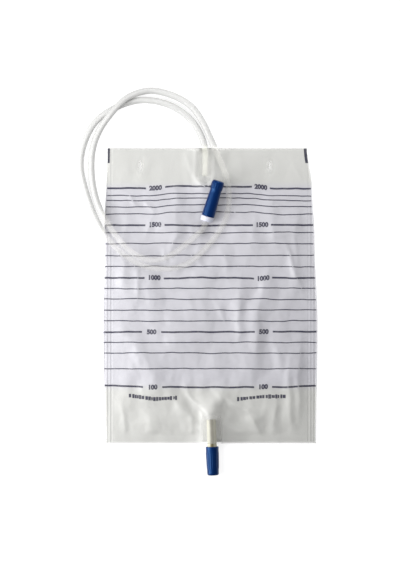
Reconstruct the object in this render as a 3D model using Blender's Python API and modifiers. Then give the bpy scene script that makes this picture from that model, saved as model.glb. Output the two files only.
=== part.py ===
# Urine drainage bag, lying flat on its back as it would come to rest.
# Units are metres, +Z is up. X runs across the bag and +Y runs towards its top edge.
# The origin is on the surface that the bag lies on, at the middle of the bag and its drain valve.

import math

import bmesh
import bpy
from mathutils import Vector

MM = 0.001

# Films of the bag
BAG_WIDTH = 215 * MM            # flat width where the bag is widest
BAG_LENGTH = 295 * MM           # top edge to bottom edge
FILM = 0.3 * MM                 # thickness of each of the two films
CLEARANCE = 0.3 * MM            # kept between pieces that touch or are welded together
HEADER = 34 * MM                # depth of the welded band across the top
SIDE_WELD = 10 * MM             # width of the weld down each side
BOTTOM_WELD = 7 * MM            # depth of the weld along the bottom

# How far each side edge is drawn in by the curl of the film: distance below the top edge, amount
LEFT_EDGE = ((0 * MM, 5.0 * MM), (88 * MM, 2.0 * MM), (184 * MM, 0.0), (295 * MM, 2.5 * MM))
RIGHT_EDGE = ((0 * MM, 10.5 * MM), (40 * MM, 5.5 * MM), (88 * MM, 3.0 * MM),
              (178 * MM, 0.0), (295 * MM, 1.5 * MM))

# Slots that the bag hangs from, one each side of the inlet
SLOT_WIDTH = 5 * MM
SLOT_LENGTH = 11 * MM
SLOT_SPACING = 129 * MM
SLOT_DROP = 18 * MM             # middle of each slot below the top edge
SLOT_SIDES = 16

# Printed volume scale, a line for every 100 ml: each line's distance below the top edge in
# millimetres. The lines stand closer near the top, where the bag bulges most when it fills.
SCALE_LINES = (40.4, 47.7, 52.3, 58.8, 66.2, 77.0, 84.4, 95.5, 107.4, 118.5,
               129.9, 140.2, 151.0, 161.9, 172.9, 183.7, 194.2, 204.7, 220.4, 237.4)
HEAVY_EVERY = 5                 # the first of every five lines is heavy, and so is the last line
HEAVY_LINE = 1.1 * MM
LIGHT_LINE = 0.8 * MM

# Inlet tube, one length from inside the bag to the catheter connector
TUBE_RADIUS = 3.25 * MM
TUBE_BEVEL_RESOLUTION = 3
TUBE_POINT_SPACING = 12.6 * MM
INLET_X = -5 * MM
INLET_REACH = 28 * MM           # how far the tube runs into the bag below the top edge

# Non-return valve, a flattened sleeve of film round the inner end of the inlet tube
VALVE_FILM = 0.3 * MM
VALVE_TOP_WIDTH = 36 * MM
VALVE_LIP_WIDTH = 18 * MM
VALVE_DROP = 5 * MM             # its upper end below the top edge
VALVE_LENGTH = 34 * MM
VALVE_ROWS = 10
VALVE_SKIRT = 4.5 * MM          # the front film comes down over this distance beside the valve

# Catheter connector and its cap, lying on the front film with the capped end raised
COLLAR_RADIUS = 6.4 * MM
COLLAR_LENGTH = 5 * MM
COLLAR_FOOT_X = -3.6 * MM
COLLAR_FOOT_Y = 90.2 * MM
CONNECTOR_TURN = math.radians(17)       # clockwise from +Y, seen from above
CONNECTOR_TILT = math.radians(7)        # raised towards the closed end of the cap
SOCKET_DEPTH = 4.8 * MM                 # the tube's end is bonded into this socket
SOCKET_FLARE = 0.9 * MM                 # the socket widens this much towards its mouth
CONNECTOR_BORE = 1.9 * MM
NOSE_LENGTH = 33 * MM
NOSE_ROOT_RADIUS = 4.6 * MM
NOSE_TIP_RADIUS = 2.9 * MM
NOSE_STAGES = 3
NOSE_BARB = 0.35 * MM           # how far each stage is undercut in front of the next
CAP_MOUTH_RADIUS = 6.55 * MM
CAP_NECK_RADIUS = 5.7 * MM
CAP_HEAD_RADIUS = 5.95 * MM     # the slightly wider grip at the closed end
CAP_HEAD_LENGTH = 9.5 * MM
CAP_HEAD_ROUND = 1.6 * MM
CAP_TIP_ROOM = 2.1 * MM         # space past the tip of the nose
CAP_END_WALL = 1.8 * MM

# Drain: a soft tube welded into the bottom edge, a stem pushed into it, and a sleeve that slides
DRAIN_X = 2.0 * MM              # where its axis crosses the bottom edge
DRAIN_TURN = math.radians(2)    # the drain points this much towards +X
DRAIN_TUBE_RADIUS = 4.75 * MM
DRAIN_TUBE_WALL = 1.25 * MM
DRAIN_TUBE_INSIDE = 24 * MM     # length inside the bag
DRAIN_TUBE_OUTSIDE = 7 * MM     # length below the bottom edge
SLEEVE_DROP = 3 * MM            # top of the sleeve below the bottom edge
SLEEVE_TOP_RADIUS = 6.5 * MM
SLEEVE_FOOT_RADIUS = 5.8 * MM
SLEEVE_FOOT_ROUND = 1.6 * MM
SLEEVE_TRAVEL = 6 * MM          # the sleeve is pulled down by this much to open
SLEEVE_SEAT = 5.1 * MM          # length of the outlet that the plug closes
MOUTH_DEPTH = 10.5 * MM         # wide bore that takes the end of the soft tube
MOUTH_GAP = 0.45 * MM
STOP_RING = 1.5 * MM            # ring inside the sleeve that stops it against the stem's bead
STEM_RADIUS = 4.0 * MM
STEM_BARB_LENGTH = 12 * MM      # part pushed up into the soft tube
STEM_BORE = 2.0 * MM
STEM_FLANGE = 1.5 * MM
BEAD_LENGTH = 1.5 * MM
BEAD_HEIGHT = 0.7 * MM
PORT_RADIUS = 1.1 * MM          # cross hole that lets the liquid out above the plug
PORT_ROOM = 3.4 * MM
PORT_BODY_RADIUS = 3.3 * MM
PLUG_RADIUS = 2.4 * MM
PLUG_LENGTH = 4.2 * MM
EDGE_BREAK = 0.3 * MM

# Broad folds of the front film, in millimetres: the ends of the ridge, its height and half width
FOLDS = (
    ((-34, 118), (-33, 38), 1.8, 12),       # inside the tube's loop
    ((-74, 44), (-70, 6), 1.4, 12),         # left half
    ((-84, -17), (-54, -77), 2.2, 14),      # lower left
    ((-45, -80), (-14, -110), 1.9, 10),     # down to the left of the drain
    ((12, -82), (50, -112), 1.9, 10),       # down to the right of the drain
    ((27, 31), (30, -21), 1.6, 11),         # middle
    ((54, 28), (44, -56), 1.9, 12),         # right half
    ((72, 76), (92, 14), 1.7, 12),          # upper right
)
CHAMBER_LOOSE = 0.8 * MM        # how far the films stand apart in the empty chamber
WELD_FADE = 16 * MM             # the chamber opens up over this distance from a weld
CAP_REST = 20 * MM              # the film bulges up to the cap this far from the cap's mouth
CAP_REST_SPREAD = 13 * MM
PRESSED_NEAR = 7 * MM           # the tube holds the film down this close to it
PRESSED_FAR = 16 * MM           # and no longer holds it down this far away

# How a film drapes over a tube: it falls away over this many radii, by this power
DRAPE_SPREAD = 1.55
DRAPE_POWER = 2.6
DRAIN_LIFT = 4 * MM             # the bottom weld rises this much beside the drain
DRAIN_LIFT_SPREAD = 15 * MM
DRAIN_LIFT_LENGTH = 50 * MM
BACK_FILM_SLACK = 0.45 * MM     # extra room between the back film's flat facets and the tube
DRAIN_FADE = 31 * MM            # the front film settles over this distance above the drain tube
DRAIN_FAN = 1.6                 # and fans out there, to this much more than its spread on the tube

# Mesh density
WIDE_STEP = 14 * MM
MIDDLE_STEP = 4.6 * MM
TUBE_STEP = 3 * MM
ROW_STEP = 9 * MM
ROUND_SIDES = 32

# What follows from the sizes above
SLEEVE_LENGTH = (MOUTH_DEPTH + STOP_RING + SLEEVE_TRAVEL + BEAD_LENGTH + PORT_ROOM
                 + SLEEVE_SEAT + 2 * CLEARANCE)
OVERALL = BAG_LENGTH + SLEEVE_DROP + SLEEVE_LENGTH
TOP_Y = OVERALL / 2
BOTTOM_Y = TOP_Y - BAG_LENGTH
HALF_WIDTH = BAG_WIDTH / 2
FRONT_REST = FILM + CLEARANCE               # underside of the front film where the films meet
FRONT_TOP = FRONT_REST + FILM
VALVE_FLOOR = FRONT_REST + VALVE_FILM       # inside of the valve sleeve's lower film
VALVE_END = VALVE_DROP + VALVE_LENGTH
VALVE_STACK = 2 * VALVE_FILM + 2 * CLEARANCE
TUBE_ROOM = TUBE_RADIUS + CLEARANCE
INLET_ARCH = VALVE_FLOOR + 2 * TUBE_ROOM + VALVE_FILM + CLEARANCE - FRONT_REST
INLET_DRAPE = TUBE_ROOM + VALVE_FILM + CLEARANCE
DRAIN_Z = SLEEVE_TOP_RADIUS
DRAIN_ROOM = DRAIN_TUBE_RADIUS + CLEARANCE
CONNECTOR_AXIS = Vector((math.sin(CONNECTOR_TURN) * math.cos(CONNECTOR_TILT),
                         math.cos(CONNECTOR_TURN) * math.cos(CONNECTOR_TILT),
                         math.sin(CONNECTOR_TILT)))
COLLAR_FOOT = Vector((COLLAR_FOOT_X, COLLAR_FOOT_Y, FRONT_TOP + CLEARANCE + COLLAR_RADIUS))
CAP_MOUTH = COLLAR_FOOT + CONNECTOR_AXIS * (COLLAR_LENGTH + CLEARANCE)
CAP_LENGTH = NOSE_LENGTH - CLEARANCE + CAP_TIP_ROOM + CAP_END_WALL
CAP_NECK = CAP_LENGTH - CAP_HEAD_LENGTH
DRAIN_AXIS = Vector((-math.sin(DRAIN_TURN), math.cos(DRAIN_TURN), 0.0))     # up into the bag
DRAIN_FOOT = Vector((DRAIN_X, BOTTOM_Y, DRAIN_Z))

# Heights that the inlet tube's underside lies at
ON_TABLE = 0.15 * MM
ON_BAG = FRONT_TOP + CLEARANCE + 0.1 * MM
ON_VALVE = FRONT_REST + VALVE_STACK + FILM + CLEARANCE
IN_VALVE = VALVE_FLOOR + CLEARANCE
CROSSING = 2 * TUBE_RADIUS + CLEARANCE

# The inlet tube's route seen from above, in millimetres, from its inner end to the connector:
# X, Y, what it lies on, and how far it climbs over another stretch, as a share of a crossing
ROUTE = (
    (-5.0, 135.4, IN_VALVE, 0.0), (-5.3, 163.4, IN_VALVE, 0.0), (-11.3, 180.2, ON_TABLE, 0.0),
    (-21.3, 193.6, ON_TABLE, 0.0), (-42.0, 206.6, ON_TABLE, 0.0), (-70.0, 210.9, ON_TABLE, 0.0),
    (-97.0, 202.2, ON_TABLE, 0.0), (-117.0, 186.1, ON_TABLE, 0.0), (-129.2, 151.4, ON_TABLE, 0.0),
    (-122.8, 115.4, ON_TABLE, 0.0), (-108.4, 82.0, ON_BAG, 0.0), (-85.3, 56.3, ON_BAG, 0.0),
    (-56.0, 43.2, ON_BAG, 0.0), (-25.0, 46.6, ON_BAG, 0.0), (-1.5, 66.4, ON_BAG, 0.0),
    (14.5, 89.9, ON_BAG, 0.0), (19.2, 111.4, ON_BAG, 0.0), (17.8, 126.9, ON_BAG, 0.0),
    (13.8, 142.4, ON_BAG, 0.0), (6.7, 158.4, ON_VALVE, 0.2), (-0.3, 173.8, ON_TABLE, 0.5),
    (-7.1, 188.4, ON_TABLE, 0.4), (-19.0, 204.9, ON_TABLE, 0.2), (-38.0, 215.9, ON_TABLE, 0.05),
    (-60.0, 220.4, ON_TABLE, 0.12), (-80.0, 214.4, ON_TABLE, 0.8), (-91.1, 205.6, ON_TABLE, 1.06),
    (-100.4, 195.1, ON_TABLE, 0.9), (-110.3, 180.9, ON_TABLE, 0.34),
    (-117.3, 161.4, ON_TABLE, 0.04), (-118.0, 133.4, ON_TABLE, 0.0), (-112.2, 107.4, ON_TABLE, 0.1),
    (-101.0, 86.2, ON_BAG, 0.36), (-87.1, 67.4, ON_BAG, 0.56), (-73.5, 56.2, ON_BAG, 0.56),
    (-59.5, 51.2, ON_BAG, 0.42), (-46.5, 52.9, ON_BAG, 0.12), (-34.5, 59.1, ON_BAG, 0.0),
    (-24.6, 66.7, ON_BAG, 0.0), (-15.4, 74.6, ON_BAG, 0.1), (-6.9, 83.0, ON_BAG, 0.33),
)
ROUTE_SAMPLES = 24              # steps between two points of the route when it is smoothed


def ramp(low, high, value):
    """Rise smoothly from 0 at low to 1 at high."""
    share = min(max((value - low) / (high - low), 0.0), 1.0)
    return share * share * (3 - 2 * share)


def blended(*heights):
    """A soft maximum of several heights, none below zero."""
    return sum(max(height, 0.0) ** 3 for height in heights) ** (1 / 3)


def drawn_in(edge, drop):
    """How far a side edge is drawn in, this far below the top edge."""
    for (drop_a, in_a), (drop_b, in_b) in zip(edge, edge[1:]):
        if drop <= drop_b:
            return in_a + (in_b - in_a) * ramp(drop_a, drop_b, drop)
    return edge[-1][1]


def steps(start, stop, largest):
    """Evenly spaced values from start up to, but not including, stop."""
    count = max(1, math.ceil((stop - start) / largest - 0.01))
    return [start + (stop - start) * k / count for k in range(count)]


def smooth_curve(points, samples):
    """A smooth curve through the points, as a dense list (centripetal Catmull-Rom)."""
    ends = [points[0] * 2 - points[1]] + points + [points[-1] * 2 - points[-2]]
    curve = []
    for p0, p1, p2, p3 in zip(ends, ends[1:], ends[2:], ends[3:]):
        t1 = (p1 - p0).length ** 0.5
        t2 = t1 + (p2 - p1).length ** 0.5
        t3 = t2 + (p3 - p2).length ** 0.5
        for k in range(samples):
            t = t1 + (t2 - t1) * k / samples
            a1 = p0.lerp(p1, t / t1)
            a2 = p1.lerp(p2, (t - t1) / (t2 - t1))
            a3 = p2.lerp(p3, (t - t2) / (t3 - t2))
            b1 = a1.lerp(a2, t / t2)
            b2 = a2.lerp(a3, (t - t1) / (t3 - t1))
            curve.append(b1.lerp(b2, (t - t1) / (t2 - t1)))
    curve.append(points[-1].copy())
    return curve


def evenly_spaced(curve, spacing):
    """Points about this far apart along a dense curve, with both its ends."""
    lengths = [0.0]
    for a, b in zip(curve, curve[1:]):
        lengths.append(lengths[-1] + (b - a).length)
    count = round(lengths[-1] / spacing)
    points = []
    k = 0
    for i in range(count + 1):
        wanted = lengths[-1] * i / count
        while k < len(lengths) - 2 and lengths[k + 1] < wanted:
            k += 1
        share = (wanted - lengths[k]) / (lengths[k + 1] - lengths[k])
        points.append(curve[k].lerp(curve[k + 1], share))
    return points


def tube_route():
    """The inlet tube's centre line, from its inner end to inside the connector's socket."""
    points = [Vector((x * MM, y * MM, under + TUBE_RADIUS + climb * CROSSING))
              for x, y, under, climb in ROUTE]
    points[0].y = TOP_Y - INLET_REACH
    points.append(COLLAR_FOOT + CONNECTOR_AXIS * (SOCKET_DEPTH - CLEARANCE))
    return smooth_curve(points, ROUTE_SAMPLES)


TUBE_LINE = tube_route()


def off_tube(x, y):
    """Distance from the inlet tube's centre line, seen from above."""
    return min(math.hypot(x - p.x, y - p.y) for p in TUBE_LINE[::4])


def valve_half_width(drop):
    share = (drop - VALVE_DROP) / VALVE_LENGTH
    share = min(max(share, 0.0), 1.0)
    return (VALVE_TOP_WIDTH + (VALVE_LIP_WIDTH - VALVE_TOP_WIDTH) * share) / 2


def drape(distance, radius):
    """Share of its full height that a film keeps this far from the axis of a tube under it."""
    return math.exp(-(abs(distance) / (DRAPE_SPREAD * radius)) ** DRAPE_POWER)


def inlet_lift(x, drop):
    """How far the front film is lifted by the valve and by the inlet tube inside it."""
    off = abs(x - INLET_X)
    half = valve_half_width(drop)
    beside = 1 - ramp(half + VALVE_SKIRT / 3, half + VALVE_SKIRT, off)
    past = 1 - ramp(VALVE_END + MM, VALVE_END + 9 * MM, drop)
    stack = VALVE_STACK * beside * past
    tube = 1 - ramp(INLET_REACH + 3 * MM, VALVE_END + 4 * MM, drop)
    return stack + (INLET_ARCH - stack) * drape(off, INLET_DRAPE) * tube


def drain_offset(x, drop):
    """Sideways distance from the drain's axis."""
    above_edge = BAG_LENGTH - drop
    return abs(x - DRAIN_X + math.tan(DRAIN_TURN) * above_edge)


def weld_lift(x, drop):
    """How far both films rise together beside the drain, which lies on a wider sleeve."""
    above_edge = BAG_LENGTH - drop
    sideways = math.exp(-(drain_offset(x, drop) / DRAIN_LIFT_SPREAD) ** 2)
    return DRAIN_LIFT * sideways * (1 - ramp(DRAIN_FADE / 3, DRAIN_LIFT_LENGTH, above_edge))


def drain_lift(x, drop):
    """How far the front film is lifted over the drain tube."""
    above_edge = BAG_LENGTH - drop
    end = DRAIN_TUBE_INSIDE + 3 * MM
    past = ramp(end, end + DRAIN_FADE, above_edge)
    arch = (DRAIN_Z + DRAIN_ROOM - FRONT_REST) * (1 - past)
    spread = DRAIN_ROOM * (1 + DRAIN_FAN * past)
    return blended(weld_lift(x, drop), arch * drape(drain_offset(x, drop), spread))


def fold_height(x, y):
    """Height of the broad folds at a point of the chamber."""
    heights = []
    for (x0, y0), (x1, y1), height, half_width in FOLDS:
        start = Vector((x0 * MM, y0 * MM))
        run = Vector((x1 * MM, y1 * MM)) - start
        at = Vector((x, y)) - start
        share = min(max(at.dot(run) / run.length_squared, 0.0), 1.0)
        off = (at - run * share).length
        heights.append(height * MM * math.exp(-(off / (half_width * MM)) ** 2))
    return blended(*heights)


def cap_radius(along):
    return CAP_MOUTH_RADIUS + (CAP_NECK_RADIUS - CAP_MOUTH_RADIUS) * min(along / CAP_NECK, 1.0)


def cap_bulge(x, y):
    """The film's bulge that the raised cap rests on."""
    rest = CAP_MOUTH + CONNECTOR_AXIS * CAP_REST
    top = rest.z - cap_radius(CAP_REST) / math.cos(CONNECTOR_TILT) - CLEARANCE
    off = math.hypot(x - rest.x, y - rest.y)
    return (top - FRONT_TOP) * math.exp(-(off / CAP_REST_SPREAD) ** 2)


def under_connector(x, y):
    """Highest that the front film's underside may be below the connector and its cap."""
    at = Vector((x, y, 0.0)) - COLLAR_FOOT
    flat = Vector((CONNECTOR_AXIS.x, CONNECTOR_AXIS.y, 0.0))
    along = at.dot(flat) / flat.length_squared
    off = (Vector((at.x, at.y, 0.0)) - flat * along).length
    radius = COLLAR_RADIUS + CLEARANCE
    if not -2 * MM < along < COLLAR_LENGTH + CAP_LENGTH or off >= radius:
        return math.inf
    axis_z = COLLAR_FOOT.z + CONNECTOR_AXIS.z * along
    reach = math.sqrt(radius ** 2 - off ** 2) / math.cos(CONNECTOR_TILT)
    return axis_z - reach - FILM


def chamber_height(x, drop, left, right):
    """How far the front film stands off the back film in the chamber."""
    y = TOP_Y - drop
    inside = (ramp(left + SIDE_WELD, left + SIDE_WELD + WELD_FADE, x)
              * (1 - ramp(right - SIDE_WELD - WELD_FADE, right - SIDE_WELD, x))
              * ramp(HEADER, HEADER + WELD_FADE, drop)
              * (1 - ramp(BAG_LENGTH - BOTTOM_WELD - WELD_FADE, BAG_LENGTH - BOTTOM_WELD, drop)))
    if inside == 0.0:
        return 0.0
    pressed = ramp(PRESSED_NEAR, PRESSED_FAR, off_tube(x, y))
    return inside * pressed * blended(CHAMBER_LOOSE, fold_height(x, y), cap_bulge(x, y))


def front_underside(x, drop, left, right):
    lifted = blended(inlet_lift(x, drop), drain_lift(x, drop), chamber_height(x, drop, left, right))
    return min(FRONT_REST + lifted, under_connector(x, TOP_Y - drop))


def back_upperside(x, drop, left, right):
    """The back film lies flat, and rises a little to hug the drain tube from below."""
    rise = weld_lift(x, drop)
    off = drain_offset(x, drop)
    room = DRAIN_ROOM + BACK_FILM_SLACK
    if off < room:
        rise = min(rise, DRAIN_Z - math.sqrt(room ** 2 - off ** 2) - FILM)
    return FILM + rise


def film_columns():
    """Places of the films' mesh lines across the full width, closer together over the tubes."""
    tubes_left = min(INLET_X, DRAIN_X) - 2 * INLET_DRAPE
    tubes_right = max(INLET_X, DRAIN_X) + 2 * DRAIN_ROOM
    valve_left = INLET_X - VALVE_TOP_WIDTH / 2 - VALVE_SKIRT
    valve_right = INLET_X + VALVE_TOP_WIDTH / 2 + VALVE_SKIRT
    return (steps(-HALF_WIDTH, SIDE_WELD - HALF_WIDTH, SIDE_WELD)
            + steps(SIDE_WELD - HALF_WIDTH, valve_left, WIDE_STEP)
            + steps(valve_left, tubes_left, MIDDLE_STEP)
            + steps(tubes_left, tubes_right, TUBE_STEP)
            + steps(tubes_right, valve_right, MIDDLE_STEP)
            + steps(valve_right, HALF_WIDTH - SIDE_WELD, WIDE_STEP)
            + [HALF_WIDTH - SIDE_WELD, HALF_WIDTH])


def scale_bands():
    """The printed lines, each as its upper and lower edge below the top of the bag."""
    bands = []
    for k, drop in enumerate(SCALE_LINES):
        heavy = k % HEAVY_EVERY == 0 or k == len(SCALE_LINES) - 1
        half = (HEAVY_LINE if heavy else LIGHT_LINE) / 2
        bands.append((drop * MM - half, drop * MM + half))
    return bands


def front_rows():
    """Mesh rows of the front film: even steps, with a narrow row for each printed line."""
    bands = scale_bands()
    rows = steps(0, INLET_REACH, ROW_STEP) + steps(INLET_REACH, bands[0][0], ROW_STEP / 2)
    for band in bands:
        rows += band
    rows += steps(bands[-1][1], BAG_LENGTH - BOTTOM_WELD, ROW_STEP)[1:]
    return rows + [BAG_LENGTH - BOTTOM_WELD, BAG_LENGTH]


def back_rows():
    flat_to = BAG_LENGTH - DRAIN_LIFT_LENGTH
    return steps(0, flat_to, flat_to / 4) + steps(flat_to, BAG_LENGTH, ROW_STEP) + [BAG_LENGTH]


def material(name, colour, roughness, alpha=1.0, transmission=0.0):
    made = bpy.data.materials.new(name)
    made.use_nodes = True
    shader = made.node_tree.nodes['Principled BSDF']
    shader.inputs['Base Color'].default_value = (*colour, 1.0)
    shader.inputs['Roughness'].default_value = roughness
    shader.inputs['Metallic'].default_value = 0.0
    shader.inputs['Alpha'].default_value = alpha
    shader.inputs['Transmission Weight'].default_value = transmission
    made.diffuse_color = (*colour, alpha)
    return made


def collection(name):
    made = bpy.data.collections.new(name)
    bpy.context.scene.collection.children.link(made)
    return made


def new_object(name, data, home, *materials):
    made = bpy.data.objects.new(name, data)
    home.objects.link(made)
    for each in materials:
        data.materials.append(each)
    return made


def film_sheet(name, rows, height, outward, home, *materials):
    """One film: a grid moved to its outline and heights, then given its thickness."""
    columns = film_columns()
    bands = scale_bands()
    across, down = len(columns) - 1, len(rows) - 1
    bm = bmesh.new()
    bmesh.ops.create_grid(bm, x_segments=across, y_segments=down, size=0.5)
    for vert in bm.verts:
        flat_x = columns[round((vert.co.x + 0.5) * across)]
        drop = rows[round((0.5 - vert.co.y) * down)]
        left = drawn_in(LEFT_EDGE, drop) - HALF_WIDTH
        right = HALF_WIDTH - drawn_in(RIGHT_EDGE, drop)
        x = flat_x * (-left if flat_x < 0 else right) / HALF_WIDTH
        vert.co = (x, TOP_Y - drop, height(x, drop, left, right))
    if len(materials) > 1:
        for face in bm.faces:
            drop = TOP_Y - face.calc_center_median().y
            face.material_index = int(any(upper < drop < lower for upper, lower in bands))
    bm.normal_update()
    mesh = bpy.data.meshes.new(name)
    bm.to_mesh(mesh)
    bm.free()
    sheet = new_object(name, mesh, home, *materials)
    solidify = sheet.modifiers.new('film thickness', 'SOLIDIFY')
    solidify.thickness = FILM
    solidify.offset = outward
    return sheet


def slot_cutter(name, x, home):
    """A round-ended slot: a cylinder whose two halves are moved apart."""
    bm = bmesh.new()
    depth = 20 * FRONT_TOP
    bmesh.ops.create_cone(bm, cap_ends=True, segments=SLOT_SIDES, radius1=SLOT_WIDTH / 2,
                          radius2=SLOT_WIDTH / 2, depth=depth)
    for vert in bm.verts:
        vert.co.y += math.copysign((SLOT_LENGTH - SLOT_WIDTH) / 2, vert.co.y)
    mesh = bpy.data.meshes.new(name)
    bm.to_mesh(mesh)
    bm.free()
    cutter = new_object(name, mesh, home)
    cutter.location = (x, TOP_Y - SLOT_DROP, 0.0)
    hide_guide(cutter)
    return cutter


def hide_guide(cutter):
    cutter.hide_render = True
    cutter.display_type = 'WIRE'


def cut(target, cutter):
    boolean = target.modifiers.new('cut ' + cutter.name, 'BOOLEAN')
    boolean.operation = 'DIFFERENCE'
    boolean.object = cutter


def non_return_valve(home, film):
    """The valve sleeve: rings lofted from a wide mouth round the tube to flat lips."""
    bm = bmesh.new()
    rings = []
    for k in range(VALVE_ROWS + 1):
        drop = VALVE_DROP + VALVE_LENGTH * k / VALVE_ROWS
        half = valve_half_width(drop)
        tube = 1 - ramp(INLET_REACH + MM, VALVE_END, drop)
        near = [TUBE_ROOM * share for share in (0.5, 1.0, 1.55, 2.3)]
        offsets = [-half] + [-n for n in reversed(near)] + [0.0] + near + [half]
        upper = [(INLET_X + off, TOP_Y - drop,
                  VALVE_FLOOR + CLEARANCE + (2 * TUBE_ROOM - CLEARANCE) * drape(off, TUBE_ROOM) * tube)
                 for off in offsets]
        lower = [(x, y, VALVE_FLOOR) for x, y, _ in reversed(upper)]
        rings.append([bm.verts.new(point) for point in upper + lower])
    for ring, following in zip(rings, rings[1:]):
        for i in range(len(ring)):
            j = (i + 1) % len(ring)
            bm.faces.new((ring[i], following[i], following[j], ring[j]))
    bm.normal_update()
    mesh = bpy.data.meshes.new('non_return_valve')
    bm.to_mesh(mesh)
    bm.free()
    valve = new_object('non_return_valve', mesh, home, film)
    solidify = valve.modifiers.new('film thickness', 'SOLIDIFY')
    solidify.thickness = VALVE_FILM
    solidify.offset = 1.0
    return valve


def inlet_tube(home, soft):
    points = evenly_spaced(TUBE_LINE, TUBE_POINT_SPACING)
    curve = bpy.data.curves.new('inlet_tube', 'CURVE')
    curve.dimensions = '3D'
    curve.bevel_depth = TUBE_RADIUS
    curve.bevel_resolution = TUBE_BEVEL_RESOLUTION
    curve.use_fill_caps = True
    spline = curve.splines.new('POLY')
    spline.points.add(len(points) - 1)
    for spot, point in zip(spline.points, points):
        spot.co = (*point, 1.0)
    return new_object('inlet_tube', curve, home, soft)


def eased(profile, closed):
    """Break each corner marked for it with a small chamfer. A corner is (radius, height, marked)."""
    points = []
    count = len(profile)
    for i, (radius, height, marked) in enumerate(profile):
        if not marked or (not closed and i in (0, count - 1)):
            points.append((radius, height))
            continue
        here = Vector((radius, height))
        for other in (profile[i - 1], profile[(i + 1) % count]):
            towards = Vector(other[:2]) - here
            points.append(tuple(here + towards.normalized() * min(EDGE_BREAK, towards.length / 3)))
    return points


def quarter_round(radius, height, size, count=4):
    """Points that round the foot or the top of a turned outline inwards, ending on its face."""
    turn = math.copysign(1, height)
    return [(radius - size * (1 - math.cos(math.pi / 2 * k / count)),
             height - turn * size * (1 - math.sin(math.pi / 2 * k / count)), False)
            for k in range(count + 1)]


def turned(name, profile, origin, axis, home, plastic, closed=True):
    """A turned piece: a profile of (radius, height along the axis, eased) spun by a Screw."""
    points = eased(profile, closed)
    bm = bmesh.new()
    verts = [bm.verts.new((radius, 0.0, height)) for radius, height in points]
    for a, b in zip(verts, verts[1:]):
        bm.edges.new((a, b))
    if closed:
        bm.edges.new((verts[-1], verts[0]))
    mesh = bpy.data.meshes.new(name)
    bm.to_mesh(mesh)
    bm.free()
    piece = new_object(name, mesh, home, plastic)
    piece.location = origin
    piece.rotation_mode = 'QUATERNION'
    piece.rotation_quaternion = axis.to_track_quat('Z', 'Y')
    screw = piece.modifiers.new('turned', 'SCREW')
    screw.axis = 'Z'
    screw.angle = 2 * math.pi
    screw.steps = screw.render_steps = ROUND_SIDES
    screw.use_merge_vertices = True
    screw.merge_threshold = 0.01 * MM
    screw.use_smooth_shade = True
    return piece


def nose_line(share):
    return NOSE_ROOT_RADIUS + (NOSE_TIP_RADIUS - NOSE_ROOT_RADIUS) * share


def catheter_connector(home, white):
    """Collar with the tube's socket, and a nose of tapered stages that fit different catheters."""
    tip = COLLAR_LENGTH + NOSE_LENGTH
    profile = [(nose_line(1.0), tip, True)]
    for stage in reversed(range(NOSE_STAGES)):
        root_share = stage / NOSE_STAGES
        root = COLLAR_LENGTH + NOSE_LENGTH * root_share
        profile.append((nose_line(root_share), root, False))
        if stage:
            profile.append((nose_line(root_share) - NOSE_BARB, root, False))
    profile += [
        (COLLAR_RADIUS, COLLAR_LENGTH, True),
        (COLLAR_RADIUS, 0.0, True),
        (TUBE_ROOM + SOCKET_FLARE, 0.0, True),
        (TUBE_ROOM, SOCKET_DEPTH, False),
        (CONNECTOR_BORE, SOCKET_DEPTH, False),
        (CONNECTOR_BORE, tip, False),
    ]
    return turned('catheter_connector', profile, COLLAR_FOOT, CONNECTOR_AXIS, home, white)


def connector_cap(home, blue):
    """Cap that keeps the connector clean, tapered, with a slightly wider head to grip."""
    bore_end = CAP_LENGTH - CAP_END_WALL
    head = [(radius, height, False) for radius, height, _ in
            reversed(quarter_round(CAP_HEAD_RADIUS, CAP_LENGTH, CAP_HEAD_ROUND))]
    profile = [(0.0, CAP_LENGTH, False)] + head + [
        (CAP_HEAD_RADIUS, CAP_NECK, False),
        (CAP_NECK_RADIUS, CAP_NECK - (CAP_HEAD_RADIUS - CAP_NECK_RADIUS), False),
        (CAP_MOUTH_RADIUS, 0.0, True),
        (NOSE_ROOT_RADIUS + CLEARANCE, 0.0, True),
        (nose_line(1.0) + CLEARANCE, bore_end, False),
        (0.0, bore_end, False),
    ]
    return turned('connector_cap', profile, CAP_MOUTH, CONNECTOR_AXIS, home, blue, closed=False)


def drain_tube(home, soft):
    bore = DRAIN_TUBE_RADIUS - DRAIN_TUBE_WALL
    profile = [
        (DRAIN_TUBE_RADIUS, DRAIN_TUBE_INSIDE, True),
        (DRAIN_TUBE_RADIUS, -DRAIN_TUBE_OUTSIDE, True),
        (bore, -DRAIN_TUBE_OUTSIDE, False),
        (bore, DRAIN_TUBE_INSIDE, False),
    ]
    return turned('drain_tube', profile, DRAIN_FOOT, DRAIN_AXIS, home, soft)


# Heights along the drain's axis, measured from the bottom edge of the bag
RING_TOP = -SLEEVE_DROP - MOUTH_DEPTH
RING_FOOT = RING_TOP - STOP_RING
BEAD_TOP = RING_FOOT - SLEEVE_TRAVEL - CLEARANCE
BEAD_FOOT = BEAD_TOP - BEAD_LENGTH
SHOULDER = BEAD_FOOT - PORT_ROOM
SLEEVE_FLOOR = SHOULDER - CLEARANCE
SLEEVE_FOOT = -SLEEVE_DROP - SLEEVE_LENGTH
FLANGE_TOP = -DRAIN_TUBE_OUTSIDE - CLEARANCE


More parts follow.
